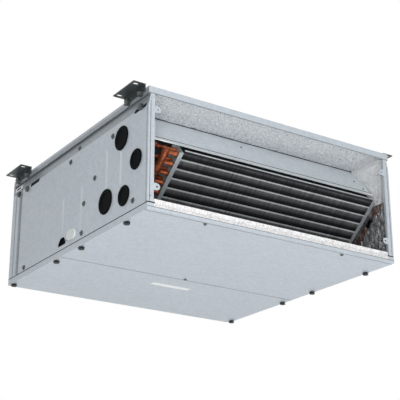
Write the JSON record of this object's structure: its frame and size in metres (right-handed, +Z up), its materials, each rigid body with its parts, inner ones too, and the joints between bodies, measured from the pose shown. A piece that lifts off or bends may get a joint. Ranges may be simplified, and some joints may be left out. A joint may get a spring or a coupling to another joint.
{
  "type": "fan coil unit",
  "caption": "Horizontal concealed fan coil unit in a galvanised casing with a slanted finned coil, drain pan, scroll blowers, drop-down access panels and slotted hanger brackets.",
  "frame": {"origin": "centre of the plane of the four hanger brackets' top faces, above the casing's middle", "axes": "+Z up towards the ceiling, -Y towards the air outlet, +X to the right seen from the outlet"},
  "size_m": [0.776, 0.708, 0.3083],
  "materials": {
    "galvanised_sheet": "galvanised with a faint spangle",
    "dark_zinc": "dark zinc plate, satin",
    "copper": "bright drawn copper with brazing stains",
    "coil_fin": "dull corrugated fin stock",
    "black_rubber": "matt moulded rubber",
    "black_plastic": "satin moulded plastic",
    "pale_plastic": "satin moulded plastic",
    "dark_foam": "matt closed-cell foam with a wrinkled skin",
    "painted_grey": "satin paint",
    "steel_shaft": "ground steel"
  },
  "bodies": {
    "casing": {"top_panel": "galvanised_sheet", "left_side_panel": "galvanised_sheet", "right_side_panel": "galvanised_sheet", "rear_frame": "galvanised_sheet", "fan_deck": "galvanised_sheet", "drain_pan": "galvanised_sheet", "baffle_plate": "galvanised_sheet", "blower_housing_left": "galvanised_sheet", "blower_housing_right": "galvanised_sheet", "blower_cheek_left_outer": "galvanised_sheet", "blower_cheek_left_inner": "galvanised_sheet", "blower_cheek_right_inner": "galvanised_sheet", "blower_cheek_right_outer": "galvanised_sheet", "motor_cradle": "galvanised_sheet", "coil_end_plate_left": "galvanised_sheet", "coil_end_plate_right": "galvanised_sheet", "hanger_bracket_front_left": "dark_zinc", "hanger_bracket_front_right": "dark_zinc", "hanger_bracket_rear_left": "dark_zinc", "hanger_bracket_rear_right": "dark_zinc", "coil_tube_1": "copper", "coil_tube_2": "copper", "coil_tube_3": "copper", "coil_tube_4": "copper", "coil_tube_5": "copper", "coil_tube_6": "copper", "coil_tube_7": "copper", "coil_tube_8": "copper", "coil_tube_9": "copper", "supply_header": "copper", "return_header": "copper", "coil_fins": "coil_fin", "plug_return": "black_rubber", "plug_upper": "black_rubber", "plug_lower": "black_rubber", "plug_supply": "black_rubber", "drain_spigot": "black_plastic", "drain_cap": "pale_plastic", "right_liner": "dark_foam", "fan_motor": "painted_grey", "capacitor": "painted_grey", "terminal_box": "painted_grey"},
    "rotor": {"impeller_left": "black_plastic", "impeller_right": "black_plastic", "impeller_hub_left": "black_plastic", "impeller_hub_right": "black_plastic", "fan_shaft": "steel_shaft"},
    "front_access_panel": {"bottom_front_panel": "galvanised_sheet"},
    "rear_access_panel": {"bottom_rear_panel": "galvanised_sheet"},
    "knob_front_left_1": {"knob_front_left_1": "black_plastic"},
    "knob_front_left_2": {"knob_front_left_2": "black_plastic"},
    "knob_front_right_1": {"knob_front_right_1": "black_plastic"},
    "knob_front_right_2": {"knob_front_right_2": "black_plastic"},
    "knob_rear_left_1": {"knob_rear_left_1": "black_plastic"},
    "knob_rear_left_2": {"knob_rear_left_2": "black_plastic"},
    "knob_rear_right_1": {"knob_rear_right_1": "black_plastic"},
    "knob_rear_right_2": {"knob_rear_right_2": "black_plastic"}
  },
  "joints": [
    {"name": "rotor_spin", "type": "hinge", "parent": "casing", "child": "rotor", "pos_m": [0, 0.216, -0.155], "axis": [1, 0, 0], "continuous": true},
    {"name": "front_panel_drop", "type": "slide", "parent": "casing", "child": "front_access_panel", "axis": [0, 0, -1], "range_m": [0, 0.1]},
    {"name": "rear_panel_drop", "type": "slide", "parent": "casing", "child": "rear_access_panel", "axis": [0, 0, -1], "range_m": [0, 0.1]},
    {"name": "knob_front_left_1_turn", "type": "hinge", "parent": "front_access_panel", "child": "knob_front_left_1", "pos_m": [-0.349, -0.256, -0.302], "axis": [0, 0, -1], "range_deg": [0, 90]},
    {"name": "knob_front_left_2_turn", "type": "hinge", "parent": "front_access_panel", "child": "knob_front_left_2", "pos_m": [-0.349, -0.043, -0.302], "axis": [0, 0, -1], "range_deg": [0, 90]},
    {"name": "knob_front_right_1_turn", "type": "hinge", "parent": "front_access_panel", "child": "knob_front_right_1", "pos_m": [0.349, -0.256, -0.302], "axis": [0, 0, -1], "range_deg": [0, 90]},
    {"name": "knob_front_right_2_turn", "type": "hinge", "parent": "front_access_panel", "child": "knob_front_right_2", "pos_m": [0.349, -0.043, -0.302], "axis": [0, 0, -1], "range_deg": [0, 90]},
    {"name": "knob_rear_left_1_turn", "type": "hinge", "parent": "rear_access_panel", "child": "knob_rear_left_1", "pos_m": [-0.349, 0.086, -0.302], "axis": [0, 0, -1], "range_deg": [0, 90]},
    {"name": "knob_rear_left_2_turn", "type": "hinge", "parent": "rear_access_panel", "child": "knob_rear_left_2", "pos_m": [-0.349, 0.332, -0.302], "axis": [0, 0, -1], "range_deg": [0, 90]},
    {"name": "knob_rear_right_1_turn", "type": "hinge", "parent": "rear_access_panel", "child": "knob_rear_right_1", "pos_m": [0.349, 0.086, -0.302], "axis": [0, 0, -1], "range_deg": [0, 90]},
    {"name": "knob_rear_right_2_turn", "type": "hinge", "parent": "rear_access_panel", "child": "knob_rear_right_2", "pos_m": [0.349, 0.332, -0.302], "axis": [0, 0, -1], "range_deg": [0, 90]}
  ]
}
